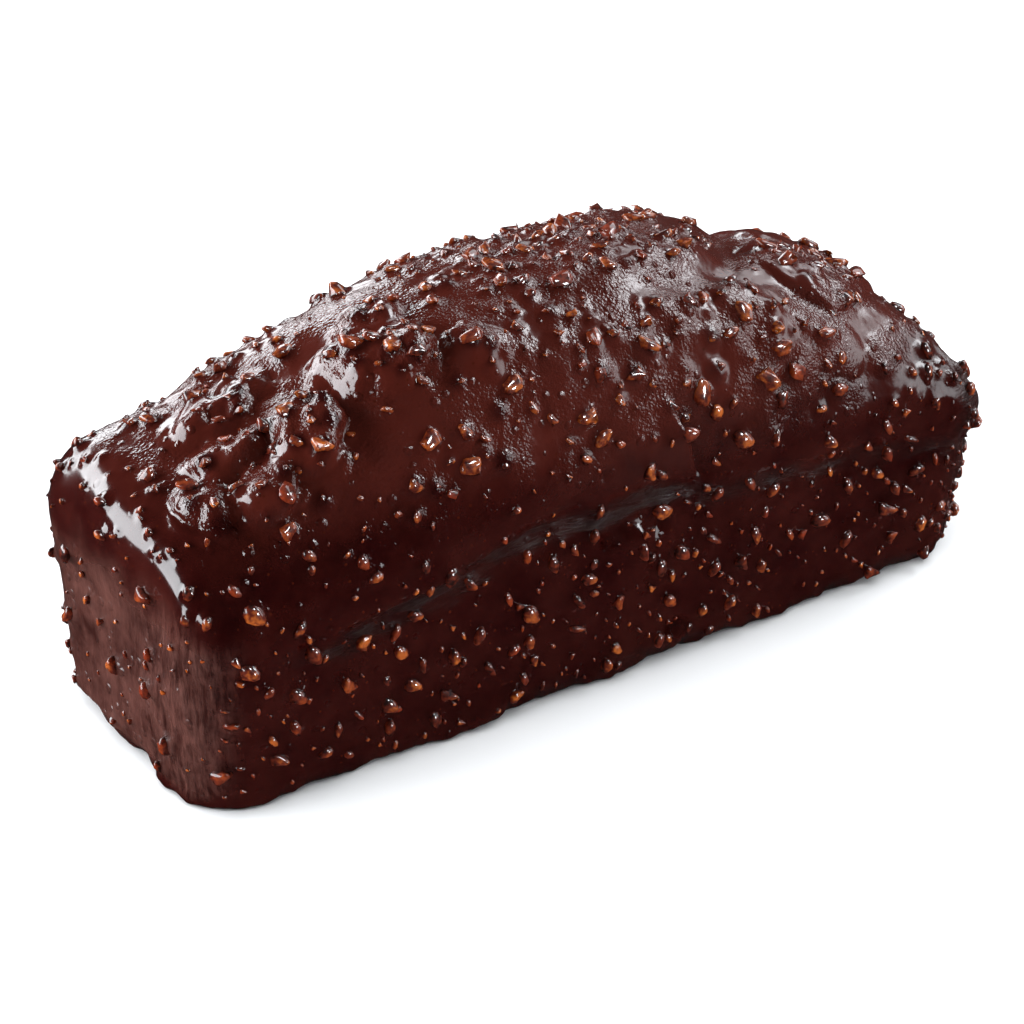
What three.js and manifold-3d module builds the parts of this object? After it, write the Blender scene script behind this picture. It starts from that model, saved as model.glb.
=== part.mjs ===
// A whole loaf cake, coated all over in dark chocolate glaze that is full of chopped nuts.
// The cake rose out of its tin, so walls that lean outwards carry an arched, cracked crown.
// Millimetres, +Z up, +X along the loaf. The origin is under its middle, on the flat underside.
import * as THREE from "three";
import { mergeVertices } from "three/addons/utils/BufferGeometryUtils.js";
import Module from "manifold-3d";

const { clamp, degToRad, smoothstep } = THREE.MathUtils;

// The block that the tin gave the cake.
const LENGTH = 210; // along the foot
const WIDTH = 69; // across the foot
const WALL = 53; // up to where the crown begins
const LEAN_ENDS = 2.6; // how far each end leans out over the wall's height
const LEAN_SIDES = 7.5; // the same for each long side
const PLAN_CORNER = 14; // radius of the upright corners
const SHOULDER = 13; // radius between the walls and the crown
const NEAR_SHOULDER = 9; // the same at the near end, which is crisper
const FOOT_ROUND = 3; // radius under the foot

// The crown: its rise over the walls at places along the loaf, and how square its arch is.
const CROWN_RISE = [[-105, 10], [-92, 13], [-75, 19], [-40, 35.2], [-5, 38], [30, 36.2], [62, 26.5],
  [90, 10.5], [105, -7]];
const ARCH_POWER = 3.2;
const NEAR_END_SLANT = 3.5; // the crown's near end drops towards the front corner

// The fold along each long side, where the crown swelled over the wall: its height at places
// along the loaf, how deep it is there, and its shape at heights above and below it.
const FRONT_FOLD = [[-105, 39], [-85, 42], [-58, 45], [-20, 52.5], [8, 52], [30, 48], [57, 44.5],
  [80, 41], [105, 38]];
const BACK_FOLD = [[-105, 40], [-60, 44], [-10, 50], [40, 51], [75, 44], [105, 39]];
const FOLD_DEPTH = [[-105, 0.2], [-82, 0.8], [-50, 1], [-15, 1.2], [15, 0.9], [40, 1.3], [75, 1], [98, 0.3]];
const FOLD_PROFILE = [[-22, 0], [-13, -0.3], [-7, -1.3], [-3.5, -1.6], [0.5, 0], [5, 1], [12, 0.8], [24, 0]];

// Lobes of thick glaze and risen crumb on the crown: centre, half sizes, turn in degrees,
// height, and how square the edge is (2 is a dome, 6 a slab with a drip edge).
const LOBES = [
  { at: [-91, -15], half: [6.5, 7.5], turn: 0, high: 3, edge: 3 },
  { at: [-79, -19], half: [8, 7], turn: 10, high: 4.2, edge: 4 },
  { at: [-82, -6], half: [8, 7], turn: 0, high: 3.2, edge: 3 },
  { at: [-67, -15], half: [8.5, 11], turn: 20, high: 4.8, edge: 5 },
  { at: [-74, 9], half: [12, 8], turn: -25, high: 2.4, edge: 3 },
  { at: [-51, -7], half: [6.5, 9], turn: 10, high: 4, edge: 4 },
  { at: [-43, -14], half: [8, 9], turn: 0, high: 4, edge: 5 },
  { at: [-42, 0], half: [7, 8], turn: 0, high: 2.4, edge: 3 },
  { at: [-28, -20], half: [5.5, 5], turn: 20, high: 1.8, edge: 3 },
  { at: [14, 0], half: [38, 17], turn: -5, high: 1.3, edge: 2 },
  { at: [26, -30], half: [44, 10], turn: 5, high: 1.7, edge: 4 },
  { at: [70, -11], half: [17, 15], turn: -15, high: 2.2, edge: 5 },
  { at: [83, 13], half: [14, 11], turn: 20, high: 2, edge: 3 },
  { at: [-18, 24], half: [22, 9], turn: 5, high: 1.8, edge: 3 },
  { at: [34, 25], half: [20, 10], turn: -12, high: 1.8, edge: 3 },
  { at: [-62, 25], half: [15, 8], turn: 18, high: 1.6, edge: 3 },
];
const LOBE_TAIL = 0.65; // share of a lobe's height that is lost at its uphill edge
const LUMP = 0.22; // share of a lobe's height that its nuts heap up and sink

// Cracks where the crown split as it rose, softened by the glaze: route, depth, half width.
const CRACKS = [
  { route: [[26, -18], [36, -16], [48, -10], [58, 0], [66, 22]], deep: 2.2, half: 6 },
  { route: [[58, 0], [64, 12], [67, 28]], deep: 2, half: 7 },
  { route: [[46, -17], [55, -24], [65, -31], [88, -34]], deep: 1.3, half: 5.5 },
  { route: [[-58, -26], [-56, -10], [-62, 2], [-66, 16]], deep: 1, half: 4.5 },
];

// The crown's front stands proud to the left of a short upright step.
const STEP_X = 17.5;
const STEP_LEAN = 0.3; // the step leans to the left as it rises
const STEP_PROFILE = [[-26, 0], [-6, 1.3], [-0.8, 2.2], [0.8, -2.6], [5, -2.2], [18, 0]];

// The glaze ran down and set as a thin uneven foot: its reach at angles round the loaf.
const FOOT_REACH = [[-180, -1], [-173, -2.6], [-164, 0], [-155, 1], [-138, -0.2], [-123, -0.9], [-112, 0.6],
  [-103, -1.4], [-90, 0], [-77, -1.6], [-68, 0.2], [-55, -1.6], [-45, -1.4], [-30, 0], [0, 0.8],
  [30, 0.6], [90, 0.4], [128, 0], [140, -2], [156, -4], [166, -1], [172, 0], [180, -1]];
const FOOT_HEIGHT = 6;

// A round knob, three hollows and a small hole in the front wall, and a swelling at its foot:
// place along the loaf and height, radius, and how far each stands out.
const MARKS = [
  { at: [0.7, 40], radius: 5, out: 3 },
  { at: [9.5, 40], radius: 3.5, out: -2.2 },
  { at: [-5, 40], radius: 3, out: -1.8 },
  { at: [-6, 57], radius: 2, out: -1.2 },
  { at: [16.5, 9], radius: 4, out: -2.4 },
  { at: [-34, 4], radius: 7, out: 1.8 },
];

// Chopped nuts. Sizes are their long way across.
const NUT_SEED = 20;
const NUT_SPACING = 3.7; // between candidate places, before any are left out
const NUT_LARGEST = 4.9;
const NUT_SMALLEST = 1.1;
const NUT_LOWEST = 4; // none in the foot below this
const NUT_SIZES = 2.3; // the higher, the more of them are small
const NUT_GROWTH = 0.25; // how far those on the lobes come up to the largest
const BARE_SPOT = [77, 13]; // middle of the far peak, which holds none
const BARE_RADIUS = 11;
const NUT_GAP = 0.55; // closest middles, as a share of two nuts' sizes together
const NUT_BREADTH = 0.72; // across and through, as a share of the size
const NUT_TOP = 0.6; // the top's size as a share of the base's
const NUT_TILT = 0.9; // radians between the steepest tilts
const NUT_SWING = 1.8; // on the walls they hang within half this of upright, in radians
const NUT_LIFT = 0.2; // middle of a nut over the coat of the walls, as a share of its size
const NUT_LIFT_TOP = 0.14; // the same on the crown
const NUT_FLAT = 0.65; // those on the crown lie flatter
const NUTS_FUSED = 185; // the largest ones, which stand out of the coat

const MESH_STEP = 4.6; // grid of the crust
const WALL_ROWS = 11;
const UNDERSIDE_CUT = 0.5; // taken off the bottom, so that it is one flat face

const COAT = { color: 0x2e100b, roughness: 0.3, metalness: 0 };

// A smooth curve through [place, value] pairs, held level past either end.
function along(pairs, place) {
  const last = pairs.length - 1;
  if (place <= pairs[0][0]) return pairs[0][1];
  if (place >= pairs[last][0]) return pairs[last][1];
  const i = pairs.findIndex(([p]) => p > place) - 1;
  const slope = (k) => {
    const [a, b] = [pairs[Math.max(k - 1, 0)], pairs[Math.min(k + 1, last)]];
    return (b[1] - a[1]) / (b[0] - a[0]);
  };
  const span = pairs[i + 1][0] - pairs[i][0];
  const t = (place - pairs[i][0]) / span;
  const rise = pairs[i + 1][1] - pairs[i][1];
  const start = slope(i) * span;
  const end = slope(i + 1) * span;
  return pairs[i][1] + t * start + t * t * (3 * rise - 2 * start - end) + t ** 3 * (start + end - 2 * rise);
}

// A point of a cube of half size 1 moved to the plain loaf: leaning walls, round edges, arched crown.
function plainLoaf(u, v, w) {
  const coreX = LENGTH / 2 - PLAN_CORNER;
  const coreY = WIDTH / 2 - PLAN_CORNER;
  let x = (u * LENGTH) / 2;
  let y = (v * WIDTH) / 2;
  let z = ((w + 1) / 2) * WALL;
  const innerX = clamp(x, -coreX, coreX);
  const innerY = clamp(y, -coreY, coreY);
  const reach = Math.max(Math.abs(x - innerX), Math.abs(y - innerY));
  const across = Math.hypot(x - innerX, y - innerY) || 1;
  const [outX, outY] = [(x - innerX) / across, (y - innerY) / across];
  x = innerX + outX * reach;
  y = innerY + outY * reach;
  const crisp = x < 0 ? outX ** 2 * (1 - smoothstep(y, 0, 22)) : 0;
  const shoulder = THREE.MathUtils.lerp(SHOULDER, NEAR_SHOULDER, crisp);
  for (const [radius, level, up] of [[shoulder, WALL, 1], [FOOT_ROUND, 0, -1]]) {
    const side = clamp(1 - (PLAN_CORNER - reach) / radius, 0, 1);
    const height = clamp(1 + (up * (z - level)) / radius, 0, 1);
    if (side === 0 || height === 0) continue;
    const round = Math.max(side, height) / Math.hypot(side, height);
    x -= outX * radius * side * (1 - round);
    y -= outY * radius * side * (1 - round);
    z = level - up * radius * (1 - height * round);
  }
  const rise = z / WALL;
  x *= 1 + (2 * LEAN_ENDS * rise) / LENGTH;
  y *= 1 + (2 * LEAN_SIDES * rise) / WIDTH;
  const side = y / (WIDTH / 2 + LEAN_SIDES);
  const arch = clamp(1 - Math.abs(side) ** ARCH_POWER, 0, 1);
  z += along(CROWN_RISE, x) * arch * smoothstep(rise, 0.35, 1);
  z += NEAR_END_SLANT * side * smoothstep(-x, 50, 105) * smoothstep(rise, 0.35, 1);
  return new THREE.Vector3(x, y, z);
}

// The way out of the crust: level on the walls, turning upwards over the crown.
function outward({ x, y, z }) {
  const core = [LENGTH / 2 - 25, WIDTH / 2 - 20, WALL - 3];
  const way = new THREE.Vector3(
    x - clamp(x, -core[0], core[0]), y - clamp(y, -core[1], core[1]), z - clamp(z, 0, core[2]));
  return way.length() > 0 ? way.normalize() : way;
}

// Distance from a point to a route of straight stretches, seen from above.
function routeDistance(route, x, y) {
  const point = new THREE.Vector2(x, y);
  const gaps = route.slice(1).map((end, i) => {
    const start = new THREE.Vector2(...route[i]);
    const run = new THREE.Vector2(...end).sub(start);
    const t = clamp(point.clone().sub(start).dot(run) / run.lengthSq(), 0, 1);
    return start.addScaledVector(run, t).distanceTo(point);
  });
  return Math.min(...gaps);
}

// How far a lobe's glaze stands over a point of the crown: it ends steeply downhill, thinly uphill.
function lobeHeight({ at, half, turn, high, edge }, x, y) {
  const [c, s] = [Math.cos(degToRad(turn)), Math.sin(degToRad(turn))];
  const [dx, dy] = [(x - at[0]) / half[0], (y - at[1]) / half[1]];
  const d = Math.hypot(dx * c + dy * s, dy * c - dx * s);
  if (d >= 1) return 0;
  const uphill = (at[1] < 16 ? dy : -dy) - (dx * at[0]) / LENGTH;
  return high * Math.sqrt(1 - d ** edge) * (1 - LOBE_TAIL * smoothstep(uphill, -0.5, 1));
}

// How far the glazed crust stands out of the plain loaf at a point of it.
function relief({ x, y, z }) {
  const onCrown = smoothstep(z, 48, 60);
  const onFront = smoothstep(-y, 18, 32);
  const onBack = smoothstep(y, 18, 32);
  const aboveFoot = smoothstep(z, 0, 8);
  const wanderX = x + 1.1 * Math.sin(y / 4.1 + 1) + 0.8 * Math.sin(y / 2.3 + x / 5);
  const wanderY = y + 1.1 * Math.sin(x / 4.7) + 0.8 * Math.sin(x / 2.6 + y / 6);
  let out = 0.6 * Math.sin(x / 19 + 0.7) * Math.cos(z / 15 + y / 23);
  out += 0.4 * Math.sin(x / 8.3 + 2.1) * Math.sin(y / 9.1 + z / 7.7 + 0.4);
  out *= aboveFoot;
  const lobes = LOBES.map((lobe) => lobeHeight(lobe, wanderX, wanderY));
  const lumps = Math.sin(x / 1.9 + 1.2 * Math.sin(y / 3.9)) * Math.sin(y / 2.1 + 1.1 * Math.sin(x / 4.3));
  out += onCrown * Math.max(...lobes) * (1 + LUMP * lumps);
  for (const { route, deep, half } of CRACKS) {
    out -= onCrown * deep * (1 - smoothstep(routeDistance(route, wanderX, wanderY), 0, half * 1.5));
  }
  const frontFold = z - along(FRONT_FOLD, x) - 0.7 * Math.sin(x / 5.3);
  const backFold = z - along(BACK_FOLD, x) - 0.8 * Math.sin(x / 5.1);
  out += onFront * along(FOLD_DEPTH, x) * along(FOLD_PROFILE, frontFold);
  out += onBack * along(FOLD_DEPTH, x) * along(FOLD_PROFILE, backFold);
  const pastStep = x - STEP_X + STEP_LEAN * (z - 52);
  const stepReach = smoothstep(frontFold, -3, 1) * (1 - smoothstep(z, 60, 70));
  out += onFront * stepReach * along(STEP_PROFILE, pastStep);
  for (const mark of MARKS) {
    const d = Math.hypot(x - mark.at[0], z - mark.at[1]) / mark.radius;
    out += onFront * mark.out * (1 - smoothstep(d, 0.2, 1));
  }
  const angle = THREE.MathUtils.radToDeg(Math.atan2(y / WIDTH, x / LENGTH));
  out += (1 - smoothstep(z, 1, FOOT_HEIGHT)) * (along(FOOT_REACH, angle) + 0.5 * Math.sin(x / 3.7 + y / 2.9));
  return out;
}

// A point of the glazed crust for a point of the cube.
function crust(u, v, w) {
  const point = plainLoaf(u, v, w);
  return point.addScaledVector(outward(point), relief(point));
}

// Grid rows of the walls: closer together under and over the fold, so that its lip stays crisp.
function rowLevel(w, x) {
  const rows = [[-1, 0], [-0.85, 3], [0.35, 36], [0.55, 39.5], [0.7, 44], [0.8, 46.5], [1, 53]];
  const fold = along(FRONT_FOLD, x) - along(FRONT_FOLD, 57);
  const level = along(rows, w) + fold * 0.4 * smoothstep(w, -0.4, 0.6) * (1 - smoothstep(w, 0.8, 1));
  return (2 * level) / WALL - 1;
}

// Places, sizes and turns of the nuts, the largest first, by the same spread on every face.
function nutPlaces() {
  let state = NUT_SEED;
  const draw = () => (state = (state * 16807) % 2147483647) / 2147483647;
  const faces = [
    { size: [LENGTH, 60], at: (a, b) => [a, -1, b] },
    { size: [LENGTH, 60], at: (a, b) => [a, 1, b] },
    { size: [LENGTH, 100], at: (a, b) => [a, b, 1] },
    { size: [WIDTH + 8, 60], at: (a, b) => [-1, a, b] },
    { size: [WIDTH + 8, 60], at: (a, b) => [1, a, b] },
  ];
  const found = [];
  for (const { size, at } of faces) {
    const count = Math.round((size[0] * size[1]) / NUT_SPACING ** 2);
    for (let i = 1; i <= count; i++) {
      const a = 2 * ((i * 0.7548776662) % 1) - 1;
      const b = 2 * ((i * 0.5698402910) % 1) - 1;
      const size = NUT_SMALLEST + (NUT_LARGEST - NUT_SMALLEST) * draw() ** NUT_SIZES;
      const [chance, turn, tip, roll] = [draw(), draw(), draw(), draw()];
      const plain = plainLoaf(...at(a, b));
      if (plain.z < NUT_LOWEST || chance > nutRichness(plain)) continue;
      const onLobe = smoothstep(lobeShare(plain), 0.1, 0.4) * smoothstep(plain.z, 52, 60);
      const grown = size + NUT_GROWTH * (NUT_LARGEST - size) * onLobe;
      found.push({ point: crust(...at(a, b)), size: grown, turn, tip, roll });
    }
  }
  found.sort((p, q) => q.size - p.size);
  const kept = [];
  for (const nut of found) {
    const crowded = kept.some(
      (other) => other.point.distanceTo(nut.point) < NUT_GAP * (other.size + nut.size));
    if (!crowded) kept.push(nut);
  }
  return kept;
}

// Height of the nearest lobe over a point, as a share of its full height.
function lobeShare({ x, y }) {
  return Math.max(...LOBES.map((lobe) => lobeHeight(lobe, x, y) / lobe.high));
}

// The share of places that hold a nut: many on the lobes and the far crown, few where the glaze ran.
function nutRichness({ x, y, z }) {
  const clump = Math.sin(x / 3.1 + 1.3 * Math.sin(z / 6.1 + y / 8))
    * Math.sin(z / 2.9 + y / 3.3 + Math.sin(x / 9));
  const uneven = 1 + 0.7 * clump;
  if (x < 4 - LENGTH / 2 && z < WALL) return 0.2 * uneven;
  const onCrown = smoothstep(z, 46, 58);
  const low = 1 - smoothstep(z - along(y < 0 ? FRONT_FOLD : BACK_FOLD, x), -9, -2);
  const far = smoothstep(x, -60, 15);
  const crack = Math.min(...CRACKS.map(({ route, half }) => routeDistance(route, x, y) / half));
  const top = clamp(0.22 + 0.12 * far + lobeShare({ x, y }), 0, 1) * smoothstep(crack, 0.2, 1.2);
  const spot = Math.hypot(x - BARE_SPOT[0], y - BARE_SPOT[1]) / BARE_RADIUS;
  const steep = smoothstep(Math.abs(y), 26, 34);
  const crown = THREE.MathUtils.lerp(top, 0.28 + 0.2 * far, steep) * smoothstep(spot, 0.7, 1);
  const wall = 0.25 + 0.13 * far + (0.36 - 0.12 * far) * low;
  return uneven * THREE.MathUtils.lerp(wall, crown, onCrown);
}

// One chopped nut: an angular chip with a smaller skewed top, its lower half sunk in the coat.
function nutGeometry({ point, size, turn, tip, roll }) {
  const chip = new THREE.BoxGeometry(size, NUT_BREADTH * size, NUT_BREADTH * size);
  chip.deleteAttribute("normal");
  chip.deleteAttribute("uv");
  const corner = chip.attributes.position;
  for (let i = 0; i < corner.count; i++) {
    if (corner.getZ(i) < 0) continue;
    corner.setX(i, NUT_TOP * corner.getX(i) + 0.25 * size * (tip - 0.5));
    corner.setY(i, NUT_TOP * corner.getY(i) + 0.25 * size * (roll - 0.5));
  }
  const way = outward(point);
  const onTop = way.z > 0.5;
  const heading = onTop ? turn * 2 * Math.PI : Math.PI / 2 + NUT_SWING * (turn - 0.5);
  const stance = new THREE.Quaternion().setFromUnitVectors(new THREE.Vector3(0, 0, 1), way);
  const spin = new THREE.Quaternion().setFromEuler(
    new THREE.Euler((roll - 0.5) * NUT_TILT, (tip - 0.5) * NUT_TILT, heading));
  return chip
    .scale(1, 1, onTop ? NUT_FLAT : 1)
    .applyQuaternion(spin)
    .applyQuaternion(stance)
    .translate(...point.clone().addScaledVector(way, (onTop ? NUT_LIFT_TOP : NUT_LIFT) * size));
}

const wasm = await Module();
wasm.setup();

// A closed geometry as a solid that can be joined.
function solid(geometry) {
  const merged = mergeVertices(geometry, 1e-4);
  return new wasm.Manifold(new wasm.Mesh({
    numProp: 3,
    vertProperties: merged.attributes.position.array,
    triVerts: new Uint32Array(merged.index.array),
  }));
}

function crustGeometry() {
  const box = new THREE.BoxGeometry(
    2, 2, 2, Math.round(LENGTH / MESH_STEP), Math.round((WIDTH + 8) / MESH_STEP), WALL_ROWS);
  box.deleteAttribute("normal");
  box.deleteAttribute("uv");
  const place = box.attributes.position;
  for (let i = 0; i < place.count; i++) {
    const [u, v, w] = [place.getX(i), place.getY(i), place.getZ(i)];
    const point = crust(u, v, rowLevel(w, (u * LENGTH) / 2));
    if (w === -1) point.z -= UNDERSIDE_CUT;
    place.setXYZ(i, ...point);
  }
  return box;
}

function loafCake() {
  let whole = solid(crustGeometry());
  for (const nut of nutPlaces().slice(0, NUTS_FUSED)) {
    whole = whole.add(solid(nutGeometry(nut)));
  }
  const under = new THREE.BoxGeometry(2 * LENGTH, 2 * WIDTH, 10).translate(0, 0, -5);
  under.deleteAttribute("normal");
  under.deleteAttribute("uv");
  const [cake] = whole.subtract(solid(under)).decompose().sort((a, b) => b.volume() - a.volume());
  const joined = cake.getMesh();
  const geometry = new THREE.BufferGeometry()
    .setAttribute("position", new THREE.BufferAttribute(joined.vertProperties, 3))
    .setIndex(new THREE.BufferAttribute(joined.triVerts, 1));
  geometry.computeVertexNormals();
  const mesh = new THREE.Mesh(geometry, new THREE.MeshStandardMaterial(COAT));
  mesh.name = "marble_loaf_cake";
  return mesh;
}

const loaf = new THREE.Group();
loaf.add(loafCake());

export default loaf;
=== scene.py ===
# A whole loaf cake coated in dark chocolate glaze full of chopped nuts, dressed around its solid.
# Metres, in the solid's own frame: +X along the loaf, -Y its front long side, +Z up.
import math

import bpy
import numpy as np
from mathutils import Euler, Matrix, Vector, kdtree, noise


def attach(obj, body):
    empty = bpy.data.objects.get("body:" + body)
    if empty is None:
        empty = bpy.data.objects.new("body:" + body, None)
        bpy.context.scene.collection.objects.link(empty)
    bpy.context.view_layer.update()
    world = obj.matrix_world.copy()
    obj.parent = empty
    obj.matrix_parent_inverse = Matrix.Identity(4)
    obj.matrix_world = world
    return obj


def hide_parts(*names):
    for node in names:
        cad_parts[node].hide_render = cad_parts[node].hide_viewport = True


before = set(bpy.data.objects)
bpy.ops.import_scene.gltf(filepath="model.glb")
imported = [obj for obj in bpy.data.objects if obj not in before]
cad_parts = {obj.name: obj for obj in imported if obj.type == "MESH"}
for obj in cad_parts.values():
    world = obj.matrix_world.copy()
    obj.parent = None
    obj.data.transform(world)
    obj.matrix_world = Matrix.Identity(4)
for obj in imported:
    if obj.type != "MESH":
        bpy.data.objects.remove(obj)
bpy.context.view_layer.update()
bpy.ops.object.select_all(action="DESELECT")


# ---------------------------------------------------------------- the glazed crust
# A pound cake baked in a tin: leaning walls, and a crown that rose, cracked and swelled over them.
# The whole loaf was then coated in dark chocolate glaze, which ran off the shoulders, gathered in
# lobes round the nuts and set as a thin foot. Sizes of its form are in millimetres.
MM = 0.001

LENGTH = 210  # along the foot
WIDTH = 69  # across the foot
WALL = 53  # up to where the crown begins
LEAN_ENDS = 2.6  # how far each end leans out over the wall's height
LEAN_SIDES = 7.5
PLAN_CORNER = 14
SHOULDER = 13  # how round the top edge is, along the sides and at the far end
NEAR_SHOULDER = 9
FOOT_ROUND = 3

CROWN_RISE = [(-105, 10), (-92, 13), (-75, 19), (-40, 35.2), (-5, 38), (30, 36.2), (62, 26.5),
              (90, 10.5), (105, -7)]
ARCH_POWER = 3.2  # how square the crown is across
NEAR_END_SLANT = 3.5  # the near end's crown drops towards its front corner

# how deep the crease under the crown is along each side, its height, and its shape from below up
FRONT_FOLD = [(-105, 39), (-85, 42), (-58, 45), (-20, 52.5), (8, 52), (30, 48), (57, 44.5),
              (80, 41), (105, 38)]
BACK_FOLD = [(-105, 40), (-60, 44), (-10, 50), (40, 51), (75, 44), (105, 39)]
FOLD_DEPTH = [(-105, 0.2), (-82, 0.8), (-50, 1), (-15, 1.2), (15, 0.9), (40, 1.3), (75, 1),
              (98, 0.3)]
FOLD_PROFILE = [(-22, 0), (-13, -0.3), (-7, -1.3), (-3.5, -1.6), (0.5, 0), (5, 1), (12, 0.8),
                (24, 0)]

# centre, half sizes, turn in degrees, height, squareness of the edge
LOBES = [
    ((-91, -15), (6.5, 7.5), 0, 3, 3),
    ((-79, -19), (8, 7), 10, 4.2, 4),
    ((-82, -6), (8, 7), 0, 3.2, 3),
    ((-67, -15), (8.5, 11), 20, 4.8, 5),
    ((-74, 9), (12, 8), -25, 2.4, 3),
    ((-51, -7), (6.5, 9), 10, 4, 4),
    ((-43, -14), (8, 9), 0, 4, 5),
    ((-42, 0), (7, 8), 0, 2.4, 3),
    ((-28, -20), (5.5, 5), 20, 1.8, 3),
    ((14, 0), (38, 17), -5, 1.3, 2),
    ((26, -30), (44, 10), 5, 1.7, 4),
    ((70, -11), (17, 15), -15, 2.2, 5),
    ((83, 13), (14, 11), 20, 2, 3),
    ((-18, 24), (22, 9), 5, 1.8, 3),
    ((34, 25), (20, 10), -12, 1.8, 3),
    ((-62, 25), (15, 8), 18, 1.6, 3),
]
LUMP = 0.22  # share of a lobe's height that its nuts heap up and sink

# route, depth, half width
CRACKS = [
    ([(26, -18), (36, -16), (48, -10), (58, 0), (66, 22)], 2.2, 6),
    ([(58, 0), (64, 12), (67, 28)], 2, 7),
    ([(46, -17), (55, -24), (65, -31), (88, -34)], 1.3, 5.5),
    ([(-58, -26), (-56, -10), (-62, 2), (-66, 16)], 1, 4.5),
]

# the crown's front stands proud to the left of a short upright step
STEP_X = 17.5
STEP_LEAN = 0.3
STEP_PROFILE = [(-26, 0), (-6, 1.3), (-0.8, 2.2), (0.8, -2.6), (5, -2.2), (18, 0)]

# how far the foot reaches out, by the angle from the middle of the loaf in degrees
FOOT_REACH = [(-180, -1), (-173, -2.6), (-164, 0), (-155, 1), (-138, -0.2), (-123, -0.9),
              (-112, 0.6), (-103, -1.4), (-90, 0), (-77, -1.6), (-68, 0.2), (-55, -1.6), (-45, -1.4),
              (-30, 0), (0, 0.8), (30, 0.6), (90, 0.4), (128, 0), (140, -2), (156, -4), (166, -1),
              (172, 0), (180, -1)]
FOOT_HEIGHT = 6

# knobs and hollows in the front: place along the loaf and height, radius, how far it stands out
KNOBS = [
    ((0.7, 40), 5, 3),
    ((9.5, 40), 3.5, -2.2),
    ((-5, 40), 3, -1.8),
    ((-6, 57), 2, -1.2),
    ((16.5, 9), 4, -2.4),
    ((-34, 4), 7, 1.8),
]


def smooth(x, low, high):
    """From 0 at low to 1 at high, easing in and out."""
    t = np.clip((x - low) / (high - low), 0, 1)
    return t * t * (3 - 2 * t)


def along(pairs, place):
    """A smooth curve through (place, value) pairs, held level past either end."""
    at, value = np.array(pairs, float).T
    before = np.maximum(np.arange(len(at)) - 1, 0)
    after = np.minimum(np.arange(len(at)) + 1, len(at) - 1)
    slope = (value[after] - value[before]) / (at[after] - at[before])
    place = np.clip(place, at[0], at[-1])
    i = np.clip(np.searchsorted(at, place, side="right") - 1, 0, len(at) - 2)
    span = at[i + 1] - at[i]
    t = (place - at[i]) / span
    rise = value[i + 1] - value[i]
    start, end = slope[i] * span, slope[i + 1] * span
    bend = 3 * rise - 2 * start - end
    return value[i] + t * start + t**2 * bend + t**3 * (start + end - 2 * rise)


def plain_loaf(u, v, w):
    """Points of a cube of half size 1 moved to the plain loaf."""
    x, y, z = u * LENGTH / 2, v * WIDTH / 2, (w + 1) / 2 * WALL
    inner_x = np.clip(x, PLAN_CORNER - LENGTH / 2, LENGTH / 2 - PLAN_CORNER)
    inner_y = np.clip(y, PLAN_CORNER - WIDTH / 2, WIDTH / 2 - PLAN_CORNER)
    reach = np.maximum(abs(x - inner_x), abs(y - inner_y))
    across = np.hypot(x - inner_x, y - inner_y)
    across[across == 0] = 1
    out_x, out_y = (x - inner_x) / across, (y - inner_y) / across
    x, y = inner_x + out_x * reach, inner_y + out_y * reach
    near = np.where(x < 0, out_x**2, 0)
    shoulder = SHOULDER + (NEAR_SHOULDER - SHOULDER) * near * (1 - smooth(y, 0, 22))
    for radius, level, up in ((shoulder, WALL, 1), (FOOT_ROUND, 0, -1)):
        side = np.clip(1 - (PLAN_CORNER - reach) / radius, 0, 1)
        height = np.clip(1 + up * (z - level) / radius, 0, 1)
        rounded = (side > 0) & (height > 0)
        corner = np.maximum(np.hypot(side, height), 1e-9)
        around = np.where(rounded, np.maximum(side, height) / corner, 1)
        x = x - out_x * radius * side * (1 - around) * rounded
        y = y - out_y * radius * side * (1 - around) * rounded
        z = np.where(rounded, level - up * radius * (1 - height * around), z)
    rise = z / WALL
    x = x * (1 + 2 * LEAN_ENDS * rise / LENGTH)
    y = y * (1 + 2 * LEAN_SIDES * rise / WIDTH)
    side = y / (WIDTH / 2 + LEAN_SIDES)
    arch = np.clip(1 - abs(side) ** ARCH_POWER, 0, 1)
    z = z + along(CROWN_RISE, x) * arch * smooth(rise, 0.35, 1)
    z = z + NEAR_END_SLANT * side * smooth(-x, 50, 105) * smooth(rise, 0.35, 1)
    return np.stack([x, y, z], -1)


CORE_X, CORE_Y, CORE_TOP = 25, 20, 3  # how far inside the loaf the core lies that it faces away from


def outward(points):
    """The way out of the crust: level on the walls, turning upwards over the crown."""
    low = np.array([CORE_X - LENGTH / 2, CORE_Y - WIDTH / 2, 0])
    high = np.array([LENGTH / 2 - CORE_X, WIDTH / 2 - CORE_Y, WALL - CORE_TOP])
    way = points - np.clip(points, low, high)
    size = np.linalg.norm(way, axis=-1, keepdims=True)
    return way / np.where(size > 0, size, 1)


def route_distance(route, x, y):
    """Distance to a route of straight stretches, seen from above."""
    point = np.stack([x, y], -1)
    nearest = np.full(len(x), np.inf)
    for start, end in zip(np.array(route[:-1], float), np.array(route[1:], float)):
        run = end - start
        t = np.clip((point - start) @ run / (run @ run), 0, 1)
        nearest = np.minimum(nearest, np.linalg.norm(start + t[:, None] * run - point, axis=1))
    return nearest


def lobe_height(lobe, x, y):
    """A lobe of glaze: it ends steeply downhill and thins out uphill."""
    (cx, cy), (half_x, half_y), turn, high, edge = lobe
    c, s = math.cos(math.radians(turn)), math.sin(math.radians(turn))
    dx, dy = (x - cx) / half_x, (y - cy) / half_y
    d = np.hypot(dx * c + dy * s, dy * c - dx * s)
    uphill = (dy if cy < 16 else -dy) - dx * cx / LENGTH
    return high * np.sqrt(np.clip(1 - d**edge, 0, 1)) * (1 - 0.65 * smooth(uphill, -0.5, 1))


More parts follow.
